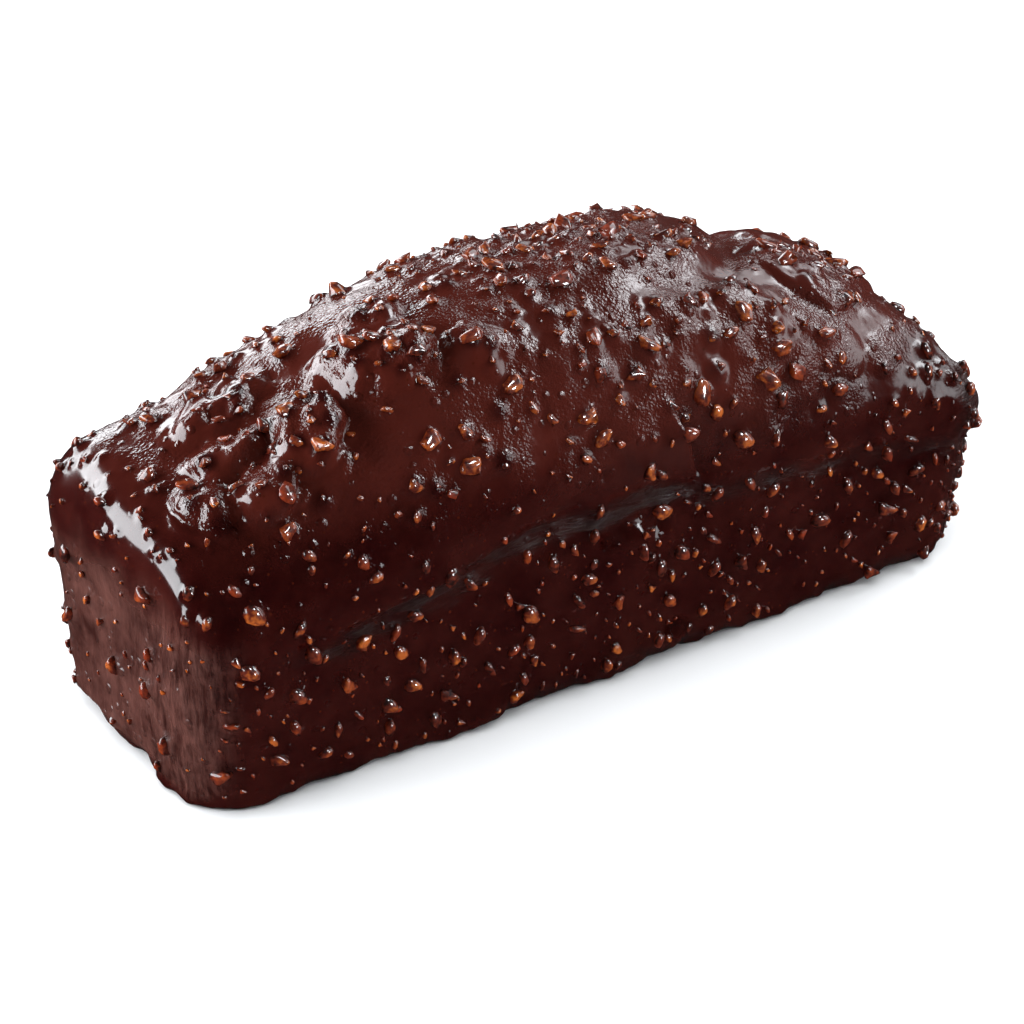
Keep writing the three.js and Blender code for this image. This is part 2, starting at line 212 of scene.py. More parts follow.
def above_front_fold(x, z):
    return z - along(FRONT_FOLD, x) - 0.7 * np.sin(x / 5.3)


def relief(points):
    """How far the glazed crust stands out of the plain loaf."""
    x, y, z = points.T
    on_crown = smooth(z, 48, 60)
    on_front = smooth(-y, 18, 32)
    on_back = smooth(y, 18, 32)
    above_foot = smooth(z, 0, 8)
    wander_x = x + 1.1 * np.sin(y / 4.1 + 1) + 0.8 * np.sin(y / 2.3 + x / 5)
    wander_y = y + 1.1 * np.sin(x / 4.7) + 0.8 * np.sin(x / 2.6 + y / 6)
    out = 0.6 * np.sin(x / 19 + 0.7) * np.cos(z / 15 + y / 23)
    out += 0.4 * np.sin(x / 8.3 + 2.1) * np.sin(y / 9.1 + z / 7.7 + 0.4)
    out *= above_foot
    lobes = np.max([lobe_height(lobe, wander_x, wander_y) for lobe in LOBES], axis=0)
    lumps = np.sin(x / 1.9 + 1.2 * np.sin(y / 3.9)) * np.sin(y / 2.1 + 1.1 * np.sin(x / 4.3))
    out += on_crown * lobes * (1 + LUMP * lumps)
    for route, deep, half in CRACKS:
        gap = route_distance(route, wander_x, wander_y)
        out -= on_crown * deep * (1 - smooth(gap, 0, half * 1.5))
    front_fold = above_front_fold(x, z)
    back_fold = z - along(BACK_FOLD, x) - 0.8 * np.sin(x / 5.1)
    out += on_front * along(FOLD_DEPTH, x) * along(FOLD_PROFILE, front_fold)
    out += on_back * along(FOLD_DEPTH, x) * along(FOLD_PROFILE, back_fold)
    past_step = x - STEP_X + STEP_LEAN * (z - 52)
    step_reach = smooth(front_fold, -3, 1) * (1 - smooth(z, 60, 70))
    out += on_front * step_reach * along(STEP_PROFILE, past_step)
    for at, radius, stands in KNOBS:
        d = np.hypot(x - at[0], z - at[1]) / radius
        out += on_front * stands * (1 - smooth(d, 0.2, 1))
    angle = np.degrees(np.arctan2(y / WIDTH, x / LENGTH))
    foot = along(FOOT_REACH, angle) + 0.5 * np.sin(x / 3.7 + y / 2.9)
    return out + (1 - smooth(z, 1, FOOT_HEIGHT)) * foot


def crust(u, v, w):
    """Points of the glazed crust for points of the cube."""
    points = plain_loaf(u, v, w)
    return points + outward(points) * relief(points)[:, None]


# The nuts' places, sizes and turns, the largest first, by one seeded draw.
NUT_SEED = 20
NUT_SPACING = 3.7
NUT_LARGEST = 4.9
NUT_SMALLEST = 1.1
NUT_LOWEST = 4
NUT_SIZES = 2.3  # the higher, the more of them are small
NUT_GROWTH = 0.25  # how far those on the lobes come up to the largest
BARE_SPOT = (77, 13)  # no nuts on the far peak within this of its middle
BARE_RADIUS = 11
NUT_CLEARANCE = 0.55  # least distance of two nuts, as a share of their sizes together
SPREAD_STEPS = 0.7548776662, 0.5698402910  # an even spread of places over each face
DRAW_FACTOR, DRAW_RANGE = 16807, 2147483647


def nut_richness(points):
    """The share of places that hold a nut: many on the lobes and far crown, few in the hollows."""
    x, y, z = points.T
    on_crown = smooth(z, 46, 58)
    fold = np.where(y < 0, along(FRONT_FOLD, x), along(BACK_FOLD, x))
    low = 1 - smooth(z - fold, -9, -2)
    far = smooth(x, -60, 15)
    lobe = np.max([lobe_height(one, x, y) / one[3] for one in LOBES], axis=0)
    crack = np.min([route_distance(route, x, y) / half for route, _, half in CRACKS], axis=0)
    crown = np.clip(0.22 + 0.12 * far + lobe, 0, 1) * smooth(crack, 0.2, 1.2)
    steep = smooth(abs(y), 26, 34)
    crown += (0.28 + 0.2 * far - crown) * steep
    crown *= smooth(np.hypot(x - BARE_SPOT[0], y - BARE_SPOT[1]) / BARE_RADIUS, 0.7, 1)
    wall = 0.25 + 0.13 * far + (0.36 - 0.12 * far) * low
    share = wall + (crown - wall) * on_crown
    share = np.where((x < 4 - LENGTH / 2) & (z < WALL), 0.2, share)
    clump = np.sin(x / 3.1 + 1.3 * np.sin(z / 6.1 + y / 8))
    clump *= np.sin(z / 2.9 + y / 3.3 + np.sin(x / 9))
    return share * (1 + 0.7 * clump)


def nut_places():
    """Rows of place, size, turn, tip and roll."""
    state = NUT_SEED

    def draw():
        nonlocal state
        state = state * DRAW_FACTOR % DRAW_RANGE
        return state / DRAW_RANGE

    faces = [
        ((LENGTH, 60), lambda a, b: (a, -1, b)),
        ((LENGTH, 60), lambda a, b: (a, 1, b)),
        ((LENGTH, 100), lambda a, b: (a, b, 1)),
        ((WIDTH + 8, 60), lambda a, b: (-1, a, b)),
        ((WIDTH + 8, 60), lambda a, b: (1, a, b)),
    ]
    cube, traits = [], []
    for (wide, high), at in faces:
        for i in range(1, round(wide * high / NUT_SPACING**2) + 1):
            cube.append(at(*(2 * (i * step % 1) - 1 for step in SPREAD_STEPS)))
            size = NUT_SMALLEST + (NUT_LARGEST - NUT_SMALLEST) * draw() ** NUT_SIZES
            traits.append((size, draw(), draw(), draw(), draw()))
    u, v, w = np.array(cube, float).T
    traits = np.array(traits)
    plain = plain_loaf(u, v, w)
    held = (plain[:, 2] >= NUT_LOWEST) & (traits[:, 1] <= nut_richness(plain))
    plain, places, traits = plain[held], crust(u, v, w)[held], traits[held]
    x, y, z = plain.T
    lobe = np.max([lobe_height(one, x, y) / one[3] for one in LOBES], axis=0)
    on_lobe = smooth(lobe, 0.1, 0.4) * smooth(z, 52, 60)
    traits[:, 0] += NUT_GROWTH * (NUT_LARGEST - traits[:, 0]) * on_lobe
    order = np.argsort(-traits[:, 0], kind="stable")
    places, traits = places[order], traits[order]
    kept = []
    for i, place in enumerate(places):
        gap = np.linalg.norm(places[kept] - place, axis=1)
        if not kept or (gap >= NUT_CLEARANCE * (traits[kept, 0] + traits[i, 0])).all():
            kept.append(i)
    return places[kept], traits[kept][:, [0, 2, 3, 4]]


# The block's skin: a fine grid for the top, its rim drawn down row by row, then in under the foot.
GRID_X, GRID_Y, WALL_ROWS, UNDER_ROWS = 240, 150, 66, 4
UNDER_STEP = 2
CLOSER = 1.15  # how much the rows crowd towards the steep shoulders, in radians
bpy.ops.mesh.primitive_grid_add(
    x_subdivisions=GRID_X, y_subdivisions=GRID_Y, size=1, location=(0, 0, WALL * MM))
glaze = bpy.context.object
glaze.name = "glazed_crust"
bpy.ops.object.mode_set(mode="EDIT")
bpy.ops.mesh.select_all(action="SELECT")
bpy.ops.transform.resize(value=(LENGTH * MM, WIDTH * MM, 1))
bpy.ops.mesh.region_to_loop()
for row in range(WALL_ROWS):
    bpy.ops.mesh.extrude_region_move(
        TRANSFORM_OT_translate={"value": (0, 0, -WALL * MM / WALL_ROWS)})
for row in range(UNDER_ROWS):
    before, after = 2 * UNDER_STEP * row, 2 * UNDER_STEP * (row + 1)
    bpy.ops.mesh.extrude_region_move()
    bpy.ops.transform.resize(
        value=((LENGTH - after) / (LENGTH - before), (WIDTH - after) / (WIDTH - before), 1))
bpy.ops.mesh.edge_face_add()
bpy.ops.mesh.select_all(action="SELECT")
bpy.ops.mesh.normals_make_consistent(inside=False)
bpy.ops.object.mode_set(mode="OBJECT")
bpy.ops.object.transform_apply(location=True, rotation=True, scale=True)

skin = np.empty(len(glaze.data.vertices) * 3)
glaze.data.vertices.foreach_get("co", skin)
u, v, w = (skin.reshape(-1, 3) / MM / [LENGTH / 2, WIDTH / 2, WALL / 2]).T
v = np.sin(v * CLOSER) / math.sin(CLOSER)
surface = crust(u, v, w - 1)


def rough(points, size, stretch=(1, 1, 1)):
    """Soft noise from -1 to 1 with bumps of a size in mm, stretched along the axes."""
    return np.array([noise.noise(point) for point in map(Vector, points / size / stretch)])


# Small unevenness of the coat: waves all over but calm along the near edge, covered nuts heaped up
# in the near lobes with a pool of glaze at their feet, strands along the crease, wrinkles down the
# far front corner, and a foot that wanders in and out. Sizes and heights are in millimetres.
NEAR_LOBES = LOBES[:9]
HEAP_COUNT = 8  # covered nuts in each near lobe, laid out in a spiral
HEAP_RADII = (4.2, 2.8, 3.4)
HEAP_HEIGHT = 0.48  # as a share of the radius
HEAP_REACH = 0.92  # how far out they lie, as a share of the lobe
HEAP_TURN = 2.4  # radians from one to the next
POOL_HEIGHT, POOL_WIDTH = 1.2, 1.8
WAVE_SIZE, WAVE_HEIGHT = 8, 0.5
RIPPLE_SIZE, RIPPLE_HEIGHT = 3.6, 0.16
STRAND_SIZE, STRAND_HEIGHT, STRAND_STRETCH = 1.6, 0.7, (6, 1, 1)
WRINKLE_SIZE, WRINKLE_HEIGHT, WRINKLE_STRETCH = 2.8, 1.5, (1, 1, 5)
FOOT_SIZE, FOOT_FINE, FOOT_WAVE = 4.5, 2.4, 1.1
LIP_SIZE = 21  # of the stretches along which the foot's lip comes and goes
ALL_UP = (1, 1, 1e6)  # the same at every height
way = outward(surface)
x, y, z = surface.T
heaped, pooled = np.zeros((2, len(surface)))
for number, ((cx, cy), (half_x, half_y), *_) in enumerate(NEAR_LOBES):
    for k in range(HEAP_COUNT):
        radius = HEAP_RADII[(k + number) % len(HEAP_RADII)]
        out, angle = HEAP_REACH * math.sqrt((k + 0.5) / HEAP_COUNT), HEAP_TURN * k + number
        dx = x - cx - half_x * out * math.cos(angle)
        dy = y - cy - half_y * out * math.sin(angle)
        dome = HEAP_HEIGHT * radius * np.sqrt(np.clip(1 - (dx**2 + dy**2) / radius**2, 0, 1))
        heaped = np.maximum(heaped, dome)
    gap = (np.hypot((x - cx) / half_x, (y - cy) / half_y) - 1) * min(half_x, half_y)
    downhill = smooth(-(x - cx) / half_x - 0.5 * (y - cy) / half_y, 0, 0.8)
    pooled = np.maximum(pooled, downhill * np.exp(-(gap / POOL_WIDTH) ** 2))
heaped = np.maximum(heaped, POOL_HEIGHT * pooled)
calm = smooth(-x, 93, 100) * smooth(z, 30, 45)
front_fold = above_front_fold(x, z)
ragged = front_fold + 3 * rough(surface, 3, (4, 1, 1)) + 1.5 * rough(surface, 1.1, (4, 1, 1))
crease = smooth(-y, 25, 34) * smooth(ragged, -9.5, -6) * (1 - smooth(ragged, -5, -1))
crease *= smooth(x, -95, -70) * (1 - 0.5 * smooth(x, 14, 26))
crease *= 0.35 + 0.65 * smooth(rough(surface, 1.5, (7, 1, 1)), -0.35, 0.3)
far_corner = smooth(x, 92, 99) * smooth(-y, 20, 27) * smooth(z, 15, 28)
foot_lip = smooth(-y, 25, 34) * smooth(z, 1.5, 3.5) * (1 - smooth(z, 5, 8))
foot_lip *= smooth(rough(np.stack([x, 0 * x, 0 * x + 69.3], -1), LIP_SIZE), -0.2, 0.5)
uneven = WAVE_HEIGHT * rough(surface, WAVE_SIZE) * (1 - 0.5 * calm)
uneven += RIPPLE_HEIGHT * rough(surface, RIPPLE_SIZE) * (1 - calm)
uneven += heaped * smooth(z, 54, 62)
uneven += STRAND_HEIGHT * crease * rough(surface, STRAND_SIZE, STRAND_STRETCH)
uneven += WRINKLE_HEIGHT * far_corner * rough(surface, WRINKLE_SIZE, WRINKLE_STRETCH)
uneven *= smooth(z, 0.5, 5)
wander = rough(surface, FOOT_SIZE, ALL_UP) + 0.6 * rough(surface, FOOT_FINE, ALL_UP)
uneven += FOOT_WAVE * wander * (1 - smooth(z, 2, 7))

# The glaze that gathers round each nut and half climbs it. The nuts ride on the unevenness.
places, traits = nut_places()
MOUND_SPREAD = 0.6  # it reaches this far, as a share of the nut's size
MOUND_SKIRT = 0.7  # and this much further, in mm
MOUND_HEIGHT = 0.26  # as a share of the nut's size
MOUND_COVER = 0.1  # and this much higher on the near lobes, whose glaze is thick
nut_x, nut_y, nut_z = places.T
covers = np.max([lobe_height(lobe, nut_x, nut_y) / lobe[3] for lobe in NEAR_LOBES], axis=0)
covers = smooth(covers, 0.1, 0.5) * smooth(nut_z, 52, 60)
tree = kdtree.KDTree(len(surface))
for i, point in enumerate(surface):
    tree.insert(point, i)
tree.balance()
lift = np.zeros(len(surface))
raised = uneven[[tree.find(place)[1] for place in places]]
for place, (size, turn, tip, roll), cover in zip(places, traits, covers):
    reach = MOUND_SPREAD * size + MOUND_SKIRT
    for point, i, gap in tree.find_range(place, reach):
        rise = (MOUND_HEIGHT + MOUND_COVER * cover) * size * (1 - (gap / reach) ** 2) ** 1.4
        lift[i] = max(lift[i], rise)
surface += way * (uneven + lift * smooth(z, 0.5, 4) * (1 - 0.4 * smooth(heaped, 0, 1)))[:, None]
places += outward(places) * raised[:, None]
surface[:, 2] = np.maximum(surface[:, 2], 0)
glaze.data.vertices.foreach_set("co", (surface * MM).ravel())
glaze.data.update()

# Where the coat looks different, each a share from 0 to 1: wiped on the near end, whose pale
# smears also carry a painted sheen; brushed in the crease, on the lip of the foot and at the far
# corner, where the pale strands are a painted sheen; thin where it ran off, browner up the crown,
# which is partly a painted brown sheen, most over the far crown; full of small bubbles on the crown,
# dulled by bloom on the far crown and by rubbing on the near one, calm along the near edge.
near_end = smooth(-x, LENGTH / 2 - 9, LENGTH / 2 + 1)
near_end *= 1 - smooth(z + 6 * rough(surface, 9), 40, 52)
near_end *= smooth(z + 3 * rough(surface, 7), 2.5, 6)
far_crown = smooth(x, -35, 10) * smooth(z, 46, 58)
far_bubbles = smooth(rough(surface, 11), -0.35, 0.2) * smooth(x, -25, 10)
near_bubbles = 0.75 * (1 - smooth(x, -25, 10)) * (1 - pooled) * (1 - calm)
near_bubbles *= smooth(rough(surface, 8), -0.4, 0)
marks = {
    # wiped: real smears, whose pale pink-grey colour is also a painted sheen, the floor's reflection
    # in the near end
    "wiped_and_sheen": near_end,
    # brushed: real strands in the crease and on the lip; at the far corner they are a painted sheen
    "brushed_and_sheen": np.maximum.reduce([crease, 0.7 * foot_lip, 0.5 * far_corner]),
    "strand": np.where(z < 20, z, front_fold),  # height above the fold or the foot, in mm
    # thin: partly thin glaze high on the crown and partly a painted brown sheen; the far crown term
    # is painted sheen only
    "thin_and_sheen": np.clip(1 - lift, 0, 1) * smooth(z, 56, 74) + 0.3 * far_crown,
    "bubbles": smooth(z, 46, 58) * np.maximum(far_bubbles, near_bubbles),
    "bloom": far_crown,
    "rubbed": 0.6 * smooth(z, 60, 68) * (1 - smooth(x, -35, 10)) * (1 - pooled) * (1 - calm),
    "calm": calm,
    "front": smooth(-y, 0, 24),  # where the near end's smears are strongest
}
for name, values in marks.items():
    glaze.data.attributes.new(name, "FLOAT", "POINT").data.foreach_set(
        "value", values.astype(np.float32))


def linear(code):
    """An sRGB hex colour as linear RGBA."""
    channels = [int(code[i:i + 2], 16) / 255 for i in (1, 3, 5)]
    return [c / 12.92 if c <= 0.04045 else ((c + 0.055) / 1.055) ** 2.4 for c in channels] + [1]


def add(tree, kind, settings=(), **links):
    """A node with its settings, its inputs set from values or linked from sockets."""
    node = tree.nodes.new(kind)
    for key, value in dict(settings).items():
        setattr(node, key, value)
    for key, value in links.items():
        socket = node.inputs[int(key[1:]) if key[1:].isdigit() else key.replace("_", " ")]
        if isinstance(value, bpy.types.NodeSocket):
            tree.links.new(value, socket)
        else:
            socket.default_value = value
    return node


# Dark chocolate glaze, poured warm and set with a half-gloss skin. It reads dark red-brown, browner
# where it is thin and where a brown sheen is painted over the crown, breaks highlights over small
# waves, covered nuts and bubbles, holds a dust of nut, and turns dull and streaked where it was
# wiped or brushed, with a painted sheen in the pale smears of the near end and the strands of the
# far corner.
CLOUD, GRIT, STREAK, SWELL, FROTH, SEED = 15, 1.1, 1.3, 5, 0.8, 3.2  # sizes in mm
SEED_RISE, SWELL_RISE, STROKE_RISE, PIT_RISE = 3.2, 0.7, 0.6, 0.36  # heights of the bumps in mm
CHOCOLATE_IOR = 1.48
choc = bpy.data.materials.new("dark_chocolate_glaze_poured")
choc.use_nodes = True
t = choc.node_tree
shader = t.nodes["Principled BSDF"]
coords = add(t, "ShaderNodeTexCoord").outputs["Object"]
wiped_and_sheen, brushed_and_sheen, strand, thin_and_sheen, bubbles, bloom, rubbed, calm, front = (
    add(t, "ShaderNodeAttribute", {"attribute_name": name}).outputs["Fac"] for name in marks)
# the body, browner up the crown where the glaze is thin and where a brown sheen is painted in, most
# over the far crown, with a dust of nut
clouds = add(t, "ShaderNodeTexNoise", Vector=coords, Scale=1 / (CLOUD * MM), Detail=6, Roughness=0.7)
depth = add(t, "ShaderNodeMath", {"operation": "MULTIPLY_ADD"},
            _0=thin_and_sheen, _1=0.8, _2=clouds.outputs["Fac"])
depth = add(t, "ShaderNodeMapRange", Value=depth.outputs[0], _1=0.35, _2=1.2)
body = add(t, "ShaderNodeMix", {"data_type": "RGBA"},
           _0=depth.outputs[0], _6=linear("#270505"), _7=linear("#521e16"))
grit = add(t, "ShaderNodeTexVoronoi", Vector=coords, Scale=1 / (GRIT * MM))
grit_few = add(t, "ShaderNodeSeparateColor", Color=grit.outputs["Color"])
grit_size = add(t, "ShaderNodeMapRange", Value=grit_few.outputs[0], _1=0.76, _2=1, _3=0, _4=0.4)
grit_here = add(t, "ShaderNodeMath", {"operation": "SUBTRACT", "use_clamp": True},
                _0=grit_size.outputs[0], _1=grit.outputs["Distance"])
grit_share = add(t, "ShaderNodeMath", {"operation": "MULTIPLY", "use_clamp": True},
                 _0=grit_here.outputs[0], _1=5)
dusted = add(t, "ShaderNodeMix", {"data_type": "RGBA"},
             _0=grit_share.outputs[0], _6=body.outputs[2], _7=linear("#47180b"))
# smears down the wiped end, whose pale pink-grey is a painted sheen, the floor's reflection in the
# end
streak_down = add(t, "ShaderNodeMapping", Vector=coords, Scale=(1, 1, 0.16), Rotation=(-0.35, 0, 0))
down = add(t, "ShaderNodeTexNoise", Vector=streak_down.outputs[0],
           Scale=1 / (STREAK * MM), Detail=4, Roughness=0.7)
streaky = add(t, "ShaderNodeMapRange", Value=front, _3=0.2, _4=0.9)
light_dark = add(t, "ShaderNodeMapRange",
                 Value=down.outputs["Fac"], _1=0.25, _2=0.75, _3=-0.25, _4=0.25)
smears = add(t, "ShaderNodeMath", {"operation": "MULTIPLY"},
             _0=light_dark.outputs[0], _1=streaky.outputs[0])
clouded = add(t, "ShaderNodeMath", {"operation": "ADD"},
              _0=smears.outputs[0], _1=clouds.outputs["Fac"])
smear_share = add(t, "ShaderNodeMapRange", Value=clouded.outputs[0], _1=0.36, _2=0.72)
# strands along the brushed crease and lip, and at the far corner, where their pale colour is a
# painted sheen
coord = add(t, "ShaderNodeSeparateXYZ", Vector=coords)
run_along = add(t, "ShaderNodeMath", {"operation": "MULTIPLY"}, _0=coord.outputs["X"], _1=120)
strands = add(t, "ShaderNodeCombineXYZ", X=run_along.outputs[0], Y=strand)
run = add(t, "ShaderNodeTexNoise", Vector=strands.outputs[0],
          Scale=2, Detail=4, Roughness=0.65, Distortion=0.9)
# the pale end of these colours is a painted sheen, the floor's reflection in the near end
wiped_sheen_color = add(t, "ShaderNodeMix", {"data_type": "RGBA"},
                  _0=smear_share.outputs[0], _6=linear("#34130e"), _7=linear("#6a4038"))
wiped_sheen_body = add(t, "ShaderNodeMix", {"data_type": "RGBA"},
                 _0=wiped_and_sheen, _6=dusted.outputs[2], _7=wiped_sheen_color.outputs[2])
brush_lines = add(t, "ShaderNodeMapRange", Value=run.outputs["Fac"], _1=0.45, _2=0.6)
brush_share = add(t, "ShaderNodeMath", {"operation": "MULTIPLY"},
                  _0=brush_lines.outputs[0], _1=brushed_and_sheen)
# the pale strands at the far corner are a painted sheen
brushed_sheen_body = add(t, "ShaderNodeMix", {"data_type": "RGBA"},
                   _0=brush_share.outputs[0], _6=wiped_sheen_body.outputs[2], _7=linear("#38231d"))
t.links.new(brushed_sheen_body.outputs[2], shader.inputs["Base Color"])
# half gloss, duller where it is bubbly, wiped or brushed
gloss = add(t, "ShaderNodeMapRange", Value=clouds.outputs["Fac"], _1=0.3, _2=0.7, _3=0.08, _4=0.17)
dulled = add(t, "ShaderNodeMath", {"operation": "ADD", "use_clamp": True}, _0=bloom, _1=rubbed)
gloss_dulled = add(t, "ShaderNodeMix", _0=dulled.outputs[0], _2=gloss.outputs[0], _3=0.23)
gloss_wiped = add(t, "ShaderNodeMix", _0=wiped_and_sheen, _2=gloss_dulled.outputs[0], _3=0.3)
gloss_brushed = add(t, "ShaderNodeMix", _0=brushed_and_sheen, _2=gloss_wiped.outputs[0], _3=0.42)
t.links.new(gloss_brushed.outputs[0], shader.inputs["Roughness"])
shader.inputs["IOR"].default_value = CHOCOLATE_IOR
# covered nuts, waves, strokes and pits of small bubbles, each a bump over the last
waves = add(t, "ShaderNodeTexNoise", Vector=coords, Scale=1 / (SWELL * MM), Detail=2, Roughness=0.5)
froth = add(t, "ShaderNodeTexNoise", Vector=coords, Scale=1 / (FROTH * MM), Detail=1, Roughness=0.6)
pit_share = add(t, "ShaderNodeMath", {"operation": "MULTIPLY"}, _0=froth.outputs["Fac"], _1=bubbles)
stroke = add(t, "ShaderNodeMath", {"operation": "MULTIPLY"}, _0=smears.outputs[0], _1=wiped_and_sheen)
strokes = add(t, "ShaderNodeMath", {"operation": "MULTIPLY_ADD"},
              _0=run.outputs["Fac"], _1=brushed_and_sheen, _2=stroke.outputs[0])
seeds = add(t, "ShaderNodeTexVoronoi", Vector=coords, Scale=1 / (SEED * MM))
seed_few = add(t, "ShaderNodeSeparateColor", Color=seeds.outputs["Color"])
seed_size = add(t, "ShaderNodeMapRange", Value=seed_few.outputs[0], _1=0.4, _2=1, _3=0, _4=0.42)
seed_dome = add(t, "ShaderNodeMath", {"operation": "SUBTRACT", "use_clamp": True},
                _0=seed_size.outputs[0], _1=seeds.outputs["Distance"])
seed_round = add(t, "ShaderNodeMath", {"operation": "SMOOTH_MIN"},
                 _0=seed_dome.outputs[0], _1=0.2, _2=0.15)
lively = add(t, "ShaderNodeMapRange", Value=calm, _3=1, _4=0.1)
seed_here = add(t, "ShaderNodeMath", {"operation": "MULTIPLY"},
                _0=seed_round.outputs[0], _1=lively.outputs[0])
wave_here = add(t, "ShaderNodeMath", {"operation": "MULTIPLY"},
                _0=waves.outputs["Fac"], _1=lively.outputs[0])
seed_bump = add(t, "ShaderNodeBump", Height=seed_here.outputs[0],
                Strength=0.7, Distance=SEED_RISE * MM)
wave_bump = add(t, "ShaderNodeBump", Height=wave_here.outputs[0], Normal=seed_bump.outputs[0],
                Strength=0.5, Distance=SWELL_RISE * MM)
stroke_bump = add(t, "ShaderNodeBump", Height=strokes.outputs[0], Normal=wave_bump.outputs[0],
                  Strength=1, Distance=STROKE_RISE * MM)
pit_bump = add(t, "ShaderNodeBump", Height=pit_share.outputs[0], Normal=stroke_bump.outputs[0],
               Strength=1, Distance=PIT_RISE * MM)
t.links.new(pit_bump.outputs[0], shader.inputs["Normal"])
glaze.data.materials.append(choc)
glaze.select_set(True)
bpy.ops.object.shade_smooth()
bpy.ops.object.select_all(action="DESELECT")
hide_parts("marble_loaf_cake")
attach(glaze, "root")


# ---------------------------------------------------------------- the chopped nuts
# Roasted almonds and hazelnuts, chopped and sieved to 1 to 5 mm, stirred into the glaze. Each is a
# worn chip that lies half sunk, under a skin of chocolate that thins to nothing on its edges.
NUT_KINDS = 5  # of rounded ones, and as many flakes
NUT_CUTS, FLAKE_CUTS = 5, 11
CUT_NEAREST, CUT_FARTHEST = 0.26, 0.46  # from the middle, as a share of the block it is cut from
NUT_TILT = 0.9  # in radians
NUT_LIFT = 0.2  # how far its middle lies out of the glaze, as a share of its size
NUT_LIFT_TOP = 0.14
NUT_FLAT = 0.65  # those on top lie flatter
NUT_SWING = 1.8  # on the walls they hang within half this of upright, in radians
CUT_SEED = 7
draws = np.random.default_rng(CUT_SEED)
chips = []
for kind in range(2 * NUT_KINDS):
    bpy.ops.mesh.primitive_cube_add(size=1, location=(0, 0, 0))
    chip = bpy.context.object
    bpy.ops.object.mode_set(mode="EDIT")
    for cut in range(NUT_CUTS if kind < NUT_KINDS else FLAKE_CUTS):
        normal = Vector(draws.normal(size=3)).normalized()
        bpy.ops.mesh.select_all(action="SELECT")
        bpy.ops.mesh.bisect(plane_co=normal * draws.uniform(CUT_NEAREST, CUT_FARTHEST),
                            plane_no=normal, use_fill=True, clear_outer=True)
    bpy.ops.mesh.select_all(action="SELECT")
    bpy.ops.transform.resize(value=(1.25, draws.uniform(0.85, 1.1), draws.uniform(0.8, 1)))
    bpy.ops.mesh.remove_doubles(threshold=0.08)
    bpy.ops.mesh.normals_make_consistent(inside=False)
    bpy.ops.object.mode_set(mode="OBJECT")
    if kind < NUT_KINDS:
        worn = chip.modifiers.new("worn", "SUBSURF")
        worn.levels = 1
        bpy.ops.object.modifier_apply(modifier="worn")
    bpy.ops.object.mode_set(mode="EDIT")
    bpy.ops.mesh.select_all(action="SELECT")
    if kind >= NUT_KINDS:
        bpy.ops.mesh.bevel(offset=0.08, segments=1, affect="EDGES")
    bpy.ops.mesh.quads_convert_to_tris()
    bpy.ops.object.mode_set(mode="OBJECT")
    corners = np.array([vert.co for vert in chip.data.vertices])
    corners -= (corners.max(0) + corners.min(0)) / 2
    corners *= 1 + 0.25 * rough(corners + 5 * kind, 0.4)[:, None]
    corners /= np.ptp(corners[:, 0])
    chips.append((corners, np.array([tuple(face.vertices) for face in chip.data.polygons])))
    bpy.data.objects.remove(chip)

points, faces, bare, tint = [], [], [], []
count = 0
rows = zip(places, traits, outward(places))
for number, (place, (size, turn, tip, roll), out) in enumerate(rows):
    on_top = out[2] > 0.5
    corners, triangles = chips[number % NUT_KINDS + (NUT_KINDS if on_top else 0)]
    stance = Vector((0, 0, 1)).rotation_difference(Vector(out)).to_matrix()
    heading = turn * math.tau if on_top else math.pi / 2 + NUT_SWING * (turn - 0.5)
    spin = Euler(((roll - 0.5) * NUT_TILT, (tip - 0.5) * NUT_TILT, heading)).to_matrix()
    turned = corners * (1, 1, NUT_FLAT if on_top else 1) @ np.array(stance @ spin).T
    lifted = NUT_LIFT_TOP if on_top else NUT_LIFT
    points.append((turned * size + place + out * lifted * size) * MM)
    faces.append(triangles + count)
    count += len(corners)
    proud = turned @ out
    rim = np.linalg.norm(corners[:, :2], axis=1)
    core = smooth(proud, 0.24 - 0.14 * roll, 0.5 - 0.1 * roll)
    edges = smooth(rim, 0.25, 0.45) * smooth(proud, -0.05, 0.1)
    if on_top:
        bare.append(0.15 + 0.52 * edges + 0.25 * core * roll)
    else:
        bare.append(0.1 + (0.78 + 0.3 * roll) * core * (1 - 0.25 * smooth(size, 2.8, 4.6)))
    tint.append(np.full(len(corners), (7 * tip + 3 * turn) % 1))

mesh = bpy.data.meshes.new("chopped_nuts")
mesh.from_pydata(np.concatenate(points), [], np.concatenate(faces).tolist())
mesh.update()
for name, values in (("bare", bare), ("tint", tint)):
    mesh.attributes.new(name, "FLOAT", "POINT").data.foreach_set(
        "value", np.concatenate(values).astype(np.float32))
nuts = bpy.data.objects.new("chopped_nuts", mesh)
bpy.context.scene.collection.objects.link(nuts)
bpy.context.view_layer.objects.active = nuts
nuts.select_set(True)
bpy.ops.object.shade_smooth()
bpy.ops.object.select_all(action="DESELECT")

